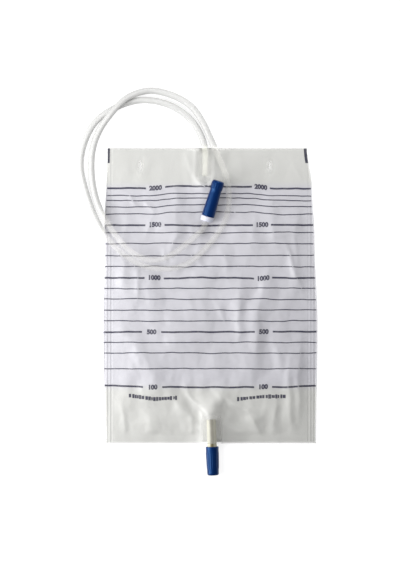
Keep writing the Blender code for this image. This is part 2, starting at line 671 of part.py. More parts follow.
def drain_valve_stem(home, cutters, white):
    """Fixed half of the valve: barb, flange, stop bead, cross hole and the plug at its end."""
    barb = DRAIN_TUBE_RADIUS - DRAIN_TUBE_WALL - CLEARANCE
    port = (BEAD_FOOT + SHOULDER) / 2
    barb_top = STEM_BARB_LENGTH + FLANGE_TOP
    bead = STEM_RADIUS + BEAD_HEIGHT
    profile = [
        (0.0, port - PORT_RADIUS, False),
        (STEM_BORE, port - PORT_RADIUS, False),
        (STEM_BORE, barb_top, False),
        (barb, barb_top, True),
        (barb, FLANGE_TOP, False),
        (DRAIN_TUBE_RADIUS, FLANGE_TOP, True),
        (DRAIN_TUBE_RADIUS, FLANGE_TOP - STEM_FLANGE, True),
        (STEM_RADIUS, FLANGE_TOP - STEM_FLANGE, False),
        (STEM_RADIUS, BEAD_TOP, False),
        (bead, BEAD_TOP, True),
        (bead, BEAD_FOOT, True),
        (PORT_BODY_RADIUS, BEAD_FOOT, False),
        (PORT_BODY_RADIUS, SHOULDER, True),
        (PLUG_RADIUS, SHOULDER, False),
        (PLUG_RADIUS, SHOULDER - PLUG_LENGTH, True),
        (0.0, SHOULDER - PLUG_LENGTH, False),
    ]
    stem = turned('drain_valve_stem', profile, DRAIN_FOOT, DRAIN_AXIS, home, white, closed=False)
    bm = bmesh.new()
    bmesh.ops.create_cone(bm, cap_ends=True, segments=SLOT_SIDES, radius1=PORT_RADIUS,
                          radius2=PORT_RADIUS, depth=4 * PORT_BODY_RADIUS)
    mesh = bpy.data.meshes.new('port_cutter')
    bm.to_mesh(mesh)
    bm.free()
    cutter = new_object('port_cutter', mesh, cutters)
    cutter.location = DRAIN_FOOT + DRAIN_AXIS * port
    hide_guide(cutter)
    cut(stem, cutter)
    return stem


def drain_valve_sleeve(home, blue):
    """Sliding half of the valve: a tapered grip with a stop ring inside and the outlet below."""
    foot = [(radius, height, False) for radius, height, _ in
            quarter_round(SLEEVE_FOOT_RADIUS, SLEEVE_FOOT, SLEEVE_FOOT_ROUND)]
    mouth = DRAIN_TUBE_RADIUS + MOUTH_GAP
    ring = STEM_RADIUS + CLEARANCE
    chamber = STEM_RADIUS + BEAD_HEIGHT + CLEARANCE
    outlet = PLUG_RADIUS + CLEARANCE
    profile = [(SLEEVE_TOP_RADIUS, -SLEEVE_DROP, True)] + foot + [
        (outlet, SLEEVE_FOOT, True),
        (outlet, SLEEVE_FLOOR, False),
        (chamber, SLEEVE_FLOOR, False),
        (chamber, RING_FOOT, False),
        (ring, RING_FOOT, False),
        (ring, RING_TOP, False),
        (mouth, RING_TOP, False),
        (mouth, -SLEEVE_DROP, True),
    ]
    return turned('drain_valve_sleeve', profile, DRAIN_FOOT, DRAIN_AXIS, home, blue)


def build():
    for old in list(bpy.data.objects):
        bpy.data.objects.remove(old, do_unlink=True)

    parts = collection('urine_drainage_bag')
    cutters = collection('cutters')

    film = material('clear_film', (0.80, 0.80, 0.83), 0.28, alpha=0.55)
    ink = material('scale_ink', (0.05, 0.05, 0.16), 0.45)
    soft = material('clear_tube', (0.84, 0.85, 0.84), 0.22, alpha=0.7)
    white = material('white_moulding', (0.86, 0.86, 0.84), 0.35)
    blue = material('blue_moulding', (0.008, 0.055, 0.32), 0.28)

    slots = [slot_cutter(name, INLET_X + side * SLOT_SPACING / 2, cutters)
             for name, side in (('left_slot_cutter', -1), ('right_slot_cutter', 1))]
    back = film_sheet('back_film', back_rows(), back_upperside, -1.0, parts, film)
    front = film_sheet('front_film', front_rows(), front_underside, 1.0, parts, film, ink)
    for sheet in (back, front):
        for slot in slots:
            cut(sheet, slot)
    non_return_valve(parts, film)
    inlet_tube(parts, soft)
    catheter_connector(parts, white)
    connector_cap(parts, blue)
    drain_tube(parts, soft)
    drain_valve_stem(parts, cutters, white)
    drain_valve_sleeve(parts, blue)


build()
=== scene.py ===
import math
import random

import bmesh
import bpy
import numpy as np
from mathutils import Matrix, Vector, noise
from mathutils.bvhtree import BVHTree


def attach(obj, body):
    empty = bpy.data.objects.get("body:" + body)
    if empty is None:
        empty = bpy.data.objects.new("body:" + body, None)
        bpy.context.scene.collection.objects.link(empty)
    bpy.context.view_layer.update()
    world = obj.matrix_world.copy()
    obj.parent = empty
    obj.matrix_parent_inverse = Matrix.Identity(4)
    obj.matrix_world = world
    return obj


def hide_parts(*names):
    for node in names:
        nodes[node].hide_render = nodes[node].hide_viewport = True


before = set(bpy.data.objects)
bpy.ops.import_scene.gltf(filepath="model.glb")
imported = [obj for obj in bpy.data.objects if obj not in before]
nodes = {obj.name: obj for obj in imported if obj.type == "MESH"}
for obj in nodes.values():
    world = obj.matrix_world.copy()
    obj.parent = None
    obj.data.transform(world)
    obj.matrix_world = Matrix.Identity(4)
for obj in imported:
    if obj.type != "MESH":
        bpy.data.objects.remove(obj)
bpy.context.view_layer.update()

mm = 0.001
rayHeight = 0.1   # metres, where rays start that look down on the bag


# Helpers for objects and meshes

def newObject(name, data):
    made = bpy.data.objects.new(name, data)
    bpy.context.scene.collection.objects.link(made)
    return made


def meshFrom(name, points, faces, smooth=True):
    mesh = bpy.data.meshes.new(name)
    mesh.from_pydata([tuple(p) for p in points], [], faces)
    mesh.validate()
    mesh.update()
    mesh.polygons.foreach_set("use_smooth", [smooth] * len(mesh.polygons))
    return mesh


def fromBmesh(name, bm):
    mesh = bpy.data.meshes.new(name)
    bm.to_mesh(mesh)
    bm.free()
    return newObject(name, mesh)


def applyModifiers(piece):
    bpy.context.view_layer.update()
    graph = bpy.context.evaluated_depsgraph_get()
    made = bpy.data.meshes.new_from_object(piece.evaluated_get(graph), depsgraph=graph)
    piece.modifiers.clear()
    piece.data = made


# Soft step from 0 at low to 1 at high
def ramp(low, high, value):
    share = np.clip((value - low) / (high - low), 0.0, 1.0)
    return share * share * (3 - 2 * share)


# The named CAD solids together, for rays
def treeOf(*names):
    points, faces = [], []
    for name in names:
        data = nodes[name].data
        start = len(points)
        points += [v.co.copy() for v in data.vertices]
        faces += [[start + i for i in p.vertices] for p in data.polygons]
    return BVHTree.FromPolygons(points, faces)


# The camera is straight above the bag, as in the photograph
cameraSettings = {"centre": (-10 * mm, 26.45 * mm), "height": 2.2, "frameHeight": 0.570, "sensor": 36.0,
                  "clip": (0.05, 10.0)}


def addCamera():
    s = cameraSettings
    data = bpy.data.cameras.new("camera")
    data.sensor_width = s["sensor"]
    data.lens = s["sensor"] * s["height"] / s["frameHeight"]
    data.clip_start, data.clip_end = s["clip"]
    camera = newObject("camera", data)
    camera.location = (*s["centre"], s["height"])
    bpy.context.scene.camera = camera


addCamera()
print("camera is in place")


# Inlet tube, from inside the bag round the coil to the connector's collar
collarFoot = Vector((-3.6, 90.2, 7.6)) * mm
connectorAxis = Vector((0.290193, 0.949180, 0.121869)).normalized()

tubeSettings = {
    "radius": 3.25 * mm, "bore": 2.25 * mm, "sides": 24, "step": 2 * mm, "samples": 24,
    "exit": (-5.3 * mm, 163.3 * mm, 4.45 * mm), "length": 0.908,
    "intoCollar": 4.5 * mm, "inletSteps": 18,   # steps from the inner end that have the inlet's finish
    # X, Y and height of the centre line in millimetres, the same as in the CAD
    "route": (
        (-5.0, 135.4, 4.45), (-5.3, 163.4, 4.45), (-11.3, 180.2, 3.4), (-21.3, 193.6, 3.4),
        (-42.0, 206.6, 3.4), (-70.0, 210.9, 3.4), (-97.0, 202.2, 3.4), (-117.0, 186.1, 3.4),
        (-129.2, 151.4, 3.4), (-122.8, 115.4, 3.4), (-108.4, 82.0, 4.55), (-85.3, 56.3, 4.55),
        (-56.0, 43.2, 4.55), (-25.0, 46.6, 4.55), (-1.5, 66.4, 4.55), (14.5, 89.9, 4.55),
        (19.2, 111.4, 4.55), (17.8, 126.9, 4.55), (13.8, 142.4, 4.55), (6.7, 158.4, 7.01),
        (-0.3, 173.8, 6.8), (-7.1, 188.4, 6.12), (-19.0, 204.9, 4.76), (-38.0, 215.9, 3.74),
        (-60.0, 220.4, 4.216), (-80.0, 214.4, 8.84), (-91.1, 205.6, 10.608), (-100.4, 195.1, 9.52),
        (-110.3, 180.9, 5.712), (-117.3, 161.4, 3.672), (-118.0, 133.4, 3.4), (-112.2, 107.4, 4.08),
        (-101.0, 86.2, 6.998), (-87.1, 67.4, 8.358), (-73.5, 56.2, 8.358), (-59.5, 51.2, 7.406),
        (-46.5, 52.9, 5.366), (-34.5, 59.1, 4.55), (-24.6, 66.7, 4.55), (-15.4, 74.6, 5.23),
        (-6.9, 83.0, 6.794),
    ),
}


def smoothCurve(points, samples):
    ends = [points[0] * 2 - points[1]] + points + [points[-1] * 2 - points[-2]]
    curve = []
    for p0, p1, p2, p3 in zip(ends, ends[1:], ends[2:], ends[3:]):
        t1 = (p1 - p0).length ** 0.5
        t2 = t1 + (p2 - p1).length ** 0.5
        t3 = t2 + (p3 - p2).length ** 0.5
        for k in range(samples):
            t = t1 + (t2 - t1) * k / samples
            a1, a2 = p0.lerp(p1, t / t1), p1.lerp(p2, (t - t1) / (t2 - t1))
            a3 = p2.lerp(p3, (t - t2) / (t3 - t2))
            b1, b2 = a1.lerp(a2, t / t2), a2.lerp(a3, (t - t1) / (t3 - t1))
            curve.append(b1.lerp(b2, (t - t1) / (t2 - t1)))
    return curve + [points[-1].copy()]


def evenlySpaced(curve, spacing):
    lengths = [0.0]
    for a, b in zip(curve, curve[1:]):
        lengths.append(lengths[-1] + (b - a).length)
    count, k, points = round(lengths[-1] / spacing), 0, []
    for i in range(count + 1):
        wanted = lengths[-1] * i / count
        while k < len(lengths) - 2 and lengths[k + 1] < wanted:
            k += 1
        points.append(curve[k].lerp(curve[k + 1], (wanted - lengths[k]) / (lengths[k + 1] - lengths[k])))
    return points


# Wall and bore as one closed mesh, ring by ring along the path
def sweepTube(path):
    sides, points, faces = tubeSettings["sides"], [], []
    across = (path[1] - path[0]).normalized().orthogonal().normalized()
    for i, centre in enumerate(path):
        ahead = (path[min(i + 1, len(path) - 1)] - path[max(i - 1, 0)]).normalized()
        across = (across - ahead * across.dot(ahead)).normalized()
        up = ahead.cross(across)
        for radius in (tubeSettings["radius"], tubeSettings["bore"]):
            for k in range(sides):
                turn = 2 * math.pi * k / sides
                points.append(centre + (across * math.cos(turn) + up * math.sin(turn)) * radius)
    ring = 2 * sides
    for i in range(len(path) - 1):
        a, b = i * ring, (i + 1) * ring
        for k in range(sides):
            j = (k + 1) % sides
            faces.append((a + k, a + j, b + j, b + k))
            faces.append((a + sides + j, a + sides + k, b + sides + k, b + sides + j))
    last = (len(path) - 1) * ring
    for k in range(sides):   # the two cut ends
        j = (k + 1) % sides
        faces.append((k, sides + k, sides + j, j))
        faces.append((last + j, last + sides + j, last + sides + k, last + k))
    return newObject("inletTube", meshFrom("inletTube", points, faces))


def tubePath():
    s = tubeSettings
    points = [Vector(p) * mm for p in s["route"]] + [collarFoot + connectorAxis * s["intoCollar"]]
    return evenlySpaced(smoothCurve(points, s["samples"]), s["step"])


tubeLine = tubePath()
tube = sweepTube(tubeLine)
print("tube is swept along", len(tubeLine), "points")


# Turned mouldings: a profile of radius and height is spun about its axis
turnedSettings = {"pin": 0.0005 * mm, "weld": 0.002 * mm, "sharpFrom": 32, "ribShape": 0.6, "arcSteps": 5}


def turnedPiece(name, profile, origin, axis, sides, ribs=None):
    s = turnedSettings
    spin = axis.to_track_quat("Z", "Y")
    points, faces = [], []
    for radius, height in profile:
        ribbed = ribs and ribs["from"] <= height <= ribs["to"] and radius > ribs["outside"]
        for k in range(sides):
            turn, r = 2 * math.pi * k / sides, radius
            if ribbed:
                r += ribs["height"] * max(0.0, math.cos(turn * ribs["count"])) ** s["ribShape"]
            points.append(origin + spin @ Vector((r * math.cos(turn), r * math.sin(turn), height)))
    for i in range(len(profile)):
        a, b = i * sides, (i + 1) % len(profile) * sides
        for k in range(sides):
            j = (k + 1) % sides
            faces.append((a + k, a + j, b + j, b + k))
    bm = bmesh.new()
    mesh = meshFrom(name, points, faces)
    bm.from_mesh(mesh)
    bmesh.ops.remove_doubles(bm, verts=bm.verts, dist=s["weld"])
    bmesh.ops.recalc_face_normals(bm, faces=bm.faces)
    for edge in bm.edges:
        if len(edge.link_faces) == 2 and edge.calc_face_angle() > math.radians(s["sharpFrom"]):
            edge.smooth = False
    bm.to_mesh(mesh)
    bm.free()
    return newObject(name, mesh)


# A rounded outer edge of a profile; outward is 1 at its upper end and -1 at its lower
def corner(radius, height, size, outward):
    steps = turnedSettings["arcSteps"]
    turns = [math.pi / 2 * k / steps for k in range(steps + 1)]
    return [(radius - size + size * math.cos(a), height - outward * size + outward * size * math.sin(a))
            for a in turns]


def inMetres(profile):
    return [(radius * mm, height * mm) for radius, height in profile]


capSettings = {
    "mouth": 6.55 * mm, "neck": 5.7 * mm, "head": 5.95 * mm, "headLength": 9.5 * mm, "round": 1.6 * mm,
    "length": 36.6 * mm, "boreMouth": 4.9 * mm, "boreEnd": 3.2 * mm, "endWall": 1.8 * mm,
    "shoulder": 0.6 * mm, "shoulderStep": (0.1 * mm, 0.3 * mm), "lipStep": (0.05 * mm, 0.25 * mm),
    "lip": 0.3 * mm, "overCollar": 5.3 * mm, "headRings": 6, "neckRings": 9, "sides": 144,
    "ribs": 18, "ribHeight": 0.22 * mm, "ribFoot": 0.8 * mm, "ribTop": 0.2 * mm, "ribDepth": 0.02 * mm,
}


def buildCap():
    s = capSettings
    pin = turnedSettings["pin"]
    neckAt, roundAt = s["length"] - s["headLength"], s["length"] - s["round"]
    profile = [(pin, s["length"])] + corner(s["head"], s["length"], s["round"], 1)[::-1]
    for k in range(1, s["headRings"] + 1):
        drop = (s["headLength"] - s["round"] - s["shoulder"]) * k / s["headRings"]
        profile.append((s["head"], roundAt - drop))
    stepIn, stepUp = s["shoulderStep"]
    profile += [(s["head"] - stepIn, neckAt + stepUp), (s["neck"], neckAt)]
    for k in range(1, s["neckRings"]):
        share = k / s["neckRings"]
        profile.append((s["neck"] + (s["mouth"] - s["neck"]) * share, neckAt * (1 - share)))
    stepIn, stepUp = s["lipStep"]
    profile += [(s["mouth"] - stepIn, stepUp), (s["mouth"] - s["lip"], 0.0), (s["boreMouth"], 0.0),
                (s["boreEnd"], s["length"] - s["endWall"]), (pin, s["length"] - s["endWall"])]
    ribs = {"from": neckAt + s["ribFoot"], "to": roundAt - s["ribTop"], "outside": s["head"] - s["ribDepth"],
            "count": s["ribs"], "height": s["ribHeight"]}
    mouth = collarFoot + connectorAxis * s["overCollar"]
    return turnedPiece("capShell", profile, mouth, connectorAxis, s["sides"], ribs)


cap = buildCap()

# The connector's collar, and inside the cap its nose with barbs
noseSettings = {"root": 4.6 * mm, "tip": 2.9 * mm, "length": 33 * mm, "stages": 3, "barb": 0.35 * mm,
                "tipEdge": 0.3 * mm, "collar": 6.4 * mm, "collarLength": 5 * mm, "collarEdge": 0.35 * mm,
                "bore": 1.9 * mm, "socket": 4.45 * mm, "socketEnd": 3.55 * mm, "socketDepth": 4.8 * mm,
                "sides": 64}


def buildConnector():
    s = noseSettings
    start, edge = s["collarLength"], s["collarEdge"]
    tip = start + s["length"]
    profile = [(s["bore"], tip), (s["tip"] - s["tipEdge"], tip), (s["tip"], tip - s["tipEdge"])]
    for stage in reversed(range(s["stages"])):
        share = stage / s["stages"]
        radius = s["root"] + (s["tip"] - s["root"]) * share
        profile.append((radius, start + s["length"] * share))
        if stage:
            profile.append((radius - s["barb"], start + s["length"] * share))
    profile += [(s["collar"] - edge, start), (s["collar"], start - edge), (s["collar"], edge),
                (s["collar"] - edge, 0.0), (s["socket"], 0.0), (s["socketEnd"], s["socketDepth"]),
                (s["bore"], s["socketDepth"])]
    return turnedPiece("connectorBody", profile, collarFoot, connectorAxis, s["sides"])


connector = buildConnector()

# Drain tube, sleeve and stem stand on one axis; each profile is radius and height in millimetres
drainSettings = {
    "foot": Vector((2.0, -131.7, 6.5)) * mm, "turn": 2.0, "sides": 48,
    "tube": ((4.75, 24), (4.75, 12), (4.75, 0), (4.75, -7), (3.5, -7), (3.5, 0), (3.5, 12), (3.5, 24)),
    "sleeveTop": 6.5 * mm, "sleeveFoot": 5.8 * mm, "sleeveFrom": -3 * mm, "sleeveEnd": -31.6 * mm,
    "edge": 0.3 * mm, "footRound": 1.6 * mm, "sleeveRings": 12, "sleeveSides": 160,
    "sleeveBore": ((2.7, -31.6), (2.7, -26.2), (5.0, -26.2), (5.0, -15.0), (4.3, -15.0), (4.3, -13.5),
                   (5.2, -13.5), (5.2, -3.0)),
    "ribs": {"from": -24 * mm, "to": -8 * mm, "outside": 5.7 * mm, "count": 20, "height": 0.2 * mm},
    "stem": ((0.0005, -24.0), (2.0, -24.0), (2.0, 4.7), (2.9, 4.7), (3.2, 4.4),
             (3.2, -7.3), (4.45, -7.3), (4.75, -7.6), (4.75, -8.5), (4.45, -8.8),
             (4.0, -8.8), (4.0, -21.3), (4.7, -21.5), (4.7, -22.6), (4.5, -22.8),
             (3.3, -22.8), (3.3, -26.2), (2.4, -26.2), (2.4, -30.1), (2.1, -30.4), (0.0005, -30.4)),
}


def buildDrain():
    s = drainSettings
    turn = math.radians(s["turn"])
    axis = Vector((-math.sin(turn), math.cos(turn), 0.0))
    tubePiece = turnedPiece("drainTube", inMetres(s["tube"]), s["foot"], axis, s["sides"])
    top, end = s["sleeveFrom"], s["sleeveEnd"]
    sleeve = [(s["sleeveTop"] - s["edge"], top), (s["sleeveTop"], top - s["edge"])]
    for k in range(1, s["sleeveRings"]):
        share = k / s["sleeveRings"]
        sleeve.append((s["sleeveTop"] + (s["sleeveFoot"] - s["sleeveTop"]) * share,
                       top + (end + s["footRound"] - top) * share))
    sleeve += corner(s["sleeveFoot"], end, s["footRound"], -1) + inMetres(s["sleeveBore"])
    sleevePiece = turnedPiece("drainSleeve", sleeve, s["foot"], axis, s["sleeveSides"], s["ribs"])
    stemPiece = turnedPiece("drainStem", inMetres(s["stem"]), s["foot"], axis, s["sides"])
    return tubePiece, sleevePiece, stemPiece


drainTube, drainSleeve, drainStem = buildDrain()
print("mouldings are turned")


# Films of the bag; an edge is pairs of drop from the top and how far it is drawn in, in millimetres
filmSettings = {
    "halfWidth": 107.5 * mm, "length": 295 * mm, "topY": 163.3 * mm, "step": 1.4 * mm,
    "leftEdge": ((0, 5.0), (88, 2.0), (184, 0.0), (295, 2.5)),
    "rightEdge": ((0, 10.5), (40, 5.5), (88, 3.0), (178, 0.0), (295, 1.5)),
    "thickness": 0.22 * mm, "backThickness": 0.28 * mm, "backEvery": 3, "backBlur": 2, "frontBlur": 6,
    "frontRest": 0.9 * mm, "backRest": 0.3 * mm,   # heights where no solid lies below a ray
    "header": 34 * mm, "sideWeld": 10 * mm, "bottomWeld": 7 * mm,
    "sideEase": (-3 * mm, 13 * mm), "weldEase": 6 * mm,
    "easeSteps": 7, "easeRise": 0.32 * mm, "leastRoom": 0.75 * mm, "lookUpFrom": 0.5 * mm,
    "gapAbove": 0.12 * mm, "gapBelow": 0.1 * mm,
    # Waves of loose film: size, seed, stretch along Y, height in millimetres
    "waves": ((34 * mm, 1.0, 1.6, 2.0), (13 * mm, 2.0, 1.8, 1.0), (5.5 * mm, 3.0, 1.4, 0.26)),
    "waveRise": 0.55,
    "headerWave": (16 * mm, 6.0, 2.2, 0.9), "headerRise": 0.5, "headerCreases": 0.6, "headerShare": 0.7,
    "slotX": (-69.5 * mm, 59.5 * mm), "slotDrop": 18 * mm, "slotWidth": 0.4 * mm, "slotLength": 8.0 * mm,
    "slotSides": 32, "slotDepth": 20 * mm,
}

# Each crease: its two ends in millimetres, height and half width
creaseSettings = {
    "gain": 1.2, "wobbleSize": 28 * mm, "wobbleSeed": 4.0, "wobble": 5 * mm, "wobbleY": 0.6,
    "endHeight": 0.35, "ends": (0.02, 0.98), "steepness": 1.5,
    "creases": (
        ((-34, 122), (-33, 36), 1.5, 7.5), ((-9, 84), (-11, 50), 1.0, 5.0), ((27, 31), (31, -22), 1.5, 7.0),
        ((53, 28), (43, -56), 1.9, 7.0), ((-72, 42), (-73, 10), 1.2, 3.6),
        ((-84, -18), (-52, -74), 2.0, 13.0), ((-47, -80), (-8, -120), 1.6, 7.0),
        ((-23, -75), (-2, -108), 1.5, 3.8), ((11, -82), (46, -108), 1.7, 3.4),
        ((32, -95), (49, -123), 1.3, 3.6), ((75, 67), (96, 8), 1.5, 3.4), ((4, -78), (16, -92), 1.0, 3.2),
        ((-84, 84), (-88, 30), 1.0, 4.5), ((-60, 100), (-63, 72), 0.9, 4.0),
        ((-48, 20), (-10, 12), 0.6, 4.0), ((-52, -4), (-12, -14), 0.7, 4.5),
        ((-44, -28), (0, -26), 0.5, 5.0), ((8, 66), (22, 30), 0.8, 6.0), ((60, 112), (66, 60), 1.0, 6.0),
        ((84, 100), (88, 40), 1.1, 4.5), ((66, -84), (62, -124), 1.3, 4.0),
        ((78, -50), (80, -118), 1.3, 5.0), ((90, -20), (90, -110), 1.0, 4.0),
        ((64, -20), (70, -66), 1.1, 6.0), ((-66, -96), (-36, -124), 0.5, 6.0),
        ((-88, -90), (-84, -124), 0.8, 4.0), ((-62, 152), (-70, 132), 0.9, 4.5),
        ((-84, 156), (-80, 132), 0.9, 5.0), ((60, 156), (62, 132), 0.9, 6.0),
        ((28, 152), (34, 130), 0.7, 4.0), ((-26, 156), (-16, 132), 1.1, 3.2),
        ((84, 150), (92, 128), 0.8, 3.0), ((-24, -98), (-16, -124), 1.2, 3.0),
        ((16, -112), (36, -126), 0.9, 4.0), ((-20, 112), (-18, 66), 0.9, 5.0),
        ((44, 96), (40, 60), 0.8, 5.0), ((-81, 117), (-72, 103), 1.0, 2.8),
        ((-66, 111), (-57, 97), 0.8, 2.6), ((-25, 146), (-20, 116), 1.0, 3.4),
        ((-54, 88), (-30, 79), 0.8, 3.0), ((20, 106), (34, 90), 0.9, 3.0), ((-90, 66), (-78, 52), 0.9, 3.0),
        ((-46, 66), (-40, 40), 0.9, 3.2), ((-22, 58), (-4, 40), 0.8, 3.0), ((6, 14), (14, -16), 0.8, 3.4),
    ),
}


def edgeIn(edge, drop):
    for (dropA, inA), (dropB, inB) in zip(edge, edge[1:]):
        if drop <= dropB:
            return (inA + (inB - inA) * float(ramp(dropA, dropB, drop))) * mm
    return edge[-1][1] * mm


# Left and right edge of the film at this drop, in millimetres, below its top
def edgesAt(drop):
    s = filmSettings
    return edgeIn(s["leftEdge"], drop) - s["halfWidth"], s["halfWidth"] - edgeIn(s["rightEdge"], drop)


def filmGrid():
    s = filmSettings
    rows = round(s["length"] / s["step"])
    columns = round(2 * s["halfWidth"] / s["step"])
    xs, ys = np.zeros((rows + 1, columns + 1)), np.zeros((rows + 1, columns + 1))
    for i in range(rows + 1):
        drop = s["length"] * i / rows
        xs[i] = np.linspace(*edgesAt(drop / mm), columns + 1)
        ys[i] = s["topY"] - drop
    return xs, ys


# Heights at which rays meet the solids, looking down (-1) or up (1)
def sampled(tree, xs, ys, fromZ, direction, miss):
    heights = np.full(xs.shape, miss)
    ray = Vector((0, 0, direction))
    for index in np.ndindex(xs.shape):
        hit = tree.ray_cast(Vector((xs[index], ys[index], fromZ)), ray)[0]
        if hit is not None:
            heights[index] = hit.z
    return heights


def blurred(field, times):
    for _ in range(times):
        p = np.pad(field, 1, mode="edge")
        sides = p[:-2, 1:-1] + p[2:, 1:-1] + p[1:-1, :-2] + p[1:-1, 2:]
        field = (p[1:-1, 1:-1] * 4 + sides * 2 + p[:-2, :-2] + p[:-2, 2:] + p[2:, :-2] + p[2:, 2:]) / 16
    return field


def noiseField(xs, ys, size, seed, stretch=1.0):
    field = np.zeros(xs.shape)
    for index in np.ndindex(xs.shape):
        field[index] = noise.noise(Vector((xs[index] / size, ys[index] / size / stretch, seed)))
    return field


def creaseField(xs, ys):
    s = creaseSettings
    total = np.zeros(xs.shape)
    wobble = noiseField(xs, ys, s["wobbleSize"], s["wobbleSeed"]) * s["wobble"]
    for (x0, y0), (x1, y1), height, half in s["creases"]:
        start, run = np.array((x0, y0)) * mm, np.array((x1 - x0, y1 - y0)) * mm
        ax, ay = xs + wobble - start[0], ys + wobble * s["wobbleY"] - start[1]
        along = (ax * run[0] + ay * run[1]) / (run @ run)
        share = np.clip(along, 0, 1)
        off = np.hypot(ax - run[0] * share, ay - run[1] * share)
        taper = s["endHeight"] + (1 - s["endHeight"]) * np.sin(np.pi * np.clip(along, *s["ends"]))
        total += (s["gain"] * height * mm * taper * np.exp(-(off / (half * mm)) ** s["steepness"])) ** 2
    return np.sqrt(total)


# Height that the coil and the cap leave free above the film, which eases down to them
def roomAbove(xs, ys):
    s = filmSettings
    openSky = 1.0   # metres, stands for nothing above
    onTop = treeOf("inlet_tube", "catheter_connector", "connector_cap")
    above = sampled(onTop, xs, ys, s["lookUpFrom"], 1, openSky)
    room = np.where(above > openSky / 2, openSky, above - s["gapAbove"])
    for _ in range(s["easeSteps"]):
        p = np.pad(room, 1, mode="edge")
        rise = s["easeRise"]
        room = np.minimum.reduce([p[1:-1, 1:-1], p[:-2, 1:-1] + rise, p[2:, 1:-1] + rise,
                                  p[1:-1, :-2] + rise, p[1:-1, 2:] + rise])
    return np.maximum(room, s["leastRoom"])


def frontHeights(xs, ys):
    s = filmSettings
    base = blurred(sampled(treeOf("front_film"), xs, ys, rayHeight, -1, s["frontRest"]), s["frontBlur"])
    drop = s["topY"] - ys
    sideIn = np.minimum(xs - xs[:, :1], xs[:, -1:] - xs)
    weldAt, (easeFrom, easeTo) = s["length"] - s["bottomWeld"], s["sideEase"]
    chamber = (ramp(s["sideWeld"] + easeFrom, s["sideWeld"] + easeTo, sideIn)
               * ramp(s["header"], s["header"] + s["weldEase"], drop)
               * (1 - ramp(weldAt - s["weldEase"], weldAt, drop)))   # 1 where the films are free
    folds = creaseField(xs, ys)
    loose = sum(noiseField(xs, ys, size, seed, stretch) * height
                for size, seed, stretch, height in s["waves"])
    wave = (loose + s["waveRise"]) * mm + folds
    size, seed, stretch, height = s["headerWave"]
    header = (noiseField(xs, ys, size, seed, stretch) * height + s["headerRise"]) * mm
    header = header + s["headerCreases"] * folds
    lifted = base + np.maximum(0.0, wave) * chamber
    lifted = lifted + np.maximum(0.0, header) * (1 - chamber) * s["headerShare"]
    under = sampled(treeOf("drain_tube", "non_return_valve"), xs, ys, rayHeight, -1, -1.0)
    lifted = np.maximum(lifted, under + s["thickness"] + s["gapBelow"])
    return np.minimum(lifted, roomAbove(xs, ys))


def gridMesh(name, xs, ys, zs):
    rows, columns = xs.shape
    points = np.stack([xs.ravel(), ys.ravel(), zs.ravel()], 1)
    faces = [(i * columns + j, (i + 1) * columns + j, (i + 1) * columns + j + 1, i * columns + j + 1)
             for i in range(rows - 1) for j in range(columns - 1)]
    return meshFrom(name, points, faces)


def slotCutter(x):
    s = filmSettings
    bm = bmesh.new()
    bmesh.ops.create_cone(bm, cap_ends=True, segments=s["slotSides"], radius1=s["slotWidth"] / 2,
                          radius2=s["slotWidth"] / 2, depth=s["slotDepth"])
    for vert in bm.verts:
        vert.co.y += math.copysign((s["slotLength"] - s["slotWidth"]) / 2, vert.co.y)
        vert.co += Vector((x, s["topY"] - s["slotDrop"], 0))
    return fromBmesh("slotCutter", bm)


def cutSlots(piece):
    cutters = [slotCutter(x) for x in filmSettings["slotX"]]
    for cutter in cutters:
        boolean = piece.modifiers.new("slot", "BOOLEAN")
        boolean.operation, boolean.object, boolean.solver = "DIFFERENCE", cutter, "EXACT"
    applyModifiers(piece)
    for cutter in cutters:
        bpy.data.objects.remove(cutter, do_unlink=True)


def buildFilm(name, xs, ys, zs, thickness):
    film = newObject(name, gridMesh(name, xs, ys, zs))
    solid = film.modifiers.new("thickness", "SOLIDIFY")
    solid.thickness, solid.offset = thickness, -1.0
    applyModifiers(film)
    cutSlots(film)
    return film


def buildFilms():
    s = filmSettings
    xs, ys = filmGrid()
    front = buildFilm("frontFilm", xs, ys, frontHeights(xs, ys), s["thickness"])
    xs, ys = xs[::s["backEvery"], ::s["backEvery"]], ys[::s["backEvery"], ::s["backEvery"]]
    heights = blurred(sampled(treeOf("back_film"), xs, ys, rayHeight, -1, s["backRest"]), s["backBlur"])
    return front, buildFilm("backFilm", xs, ys, heights, s["backThickness"])


frontFilm, backFilm = buildFilms()
filmTree = BVHTree.FromPolygons([v.co.copy() for v in frontFilm.data.vertices],
                                [list(p.vertices) for p in frontFilm.data.polygons])
print("films are laid out")


# Non-return valve: a sleeve of film that stands open round the tube and lies flat at its lip
valveSettings = {
    "x": -5 * mm, "top": 36 * mm, "lip": 18 * mm, "drop": 5 * mm, "length": 34 * mm, "film": 0.28 * mm,
    "floor": 0.9 * mm, "gap": 0.3 * mm, "height": 6.8 * mm, "humpWidth": 5.5025 * mm, "humpShape": 2.6,
    "closeFrom": 29 * mm, "rings": 41, "across": 33, "crowding": 1.4,
}


